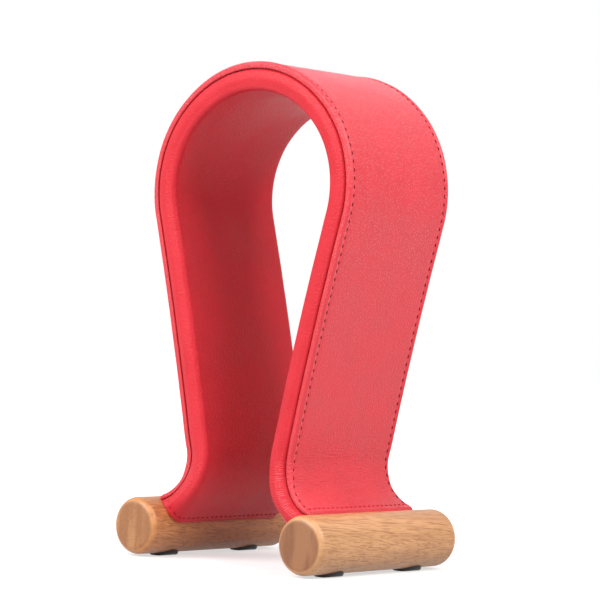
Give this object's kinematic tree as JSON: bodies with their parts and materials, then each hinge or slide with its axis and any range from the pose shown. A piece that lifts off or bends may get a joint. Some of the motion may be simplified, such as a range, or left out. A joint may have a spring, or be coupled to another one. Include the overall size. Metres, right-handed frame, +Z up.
{
  "type": "headphone stand",
  "caption": "Omega-shaped headphone stand: a bent board wrapped in padded leather, its flared ends let into two turned wooden bars that stand on rubber feet.",
  "frame": {"origin": "on the table, midway between the two wooden bars and midway along them", "axes": "+X across the feet from the left bar to the right bar, +Y along the bars to the back, +Z up"},
  "size_m": [0.1436, 0.1106, 0.2582],
  "materials": {
    "plywood": "bare bent laminated veneer",
    "foam": "soft open-cell foam sheet",
    "red_leather": "fine pebbled grain, satin",
    "bar_wood": "turned, sanded and oiled, satin",
    "black_rubber": "matt",
    "zinc_steel": "zinc plated"
  },
  "bodies": {
    "root": {"bent_board": "plywood", "inner_padding": "foam", "outer_padding": "foam", "panel_padding": "foam", "inner_cover": "red_leather", "outer_panel": "red_leather", "left_foot_bar": "bar_wood", "right_foot_bar": "bar_wood", "front_left_rubber_foot": "black_rubber", "back_left_rubber_foot": "black_rubber", "front_right_rubber_foot": "black_rubber", "back_right_rubber_foot": "black_rubber", "foot_washers": "zinc_steel", "foot_screws": "zinc_steel"}
  },
  "joints": []
}
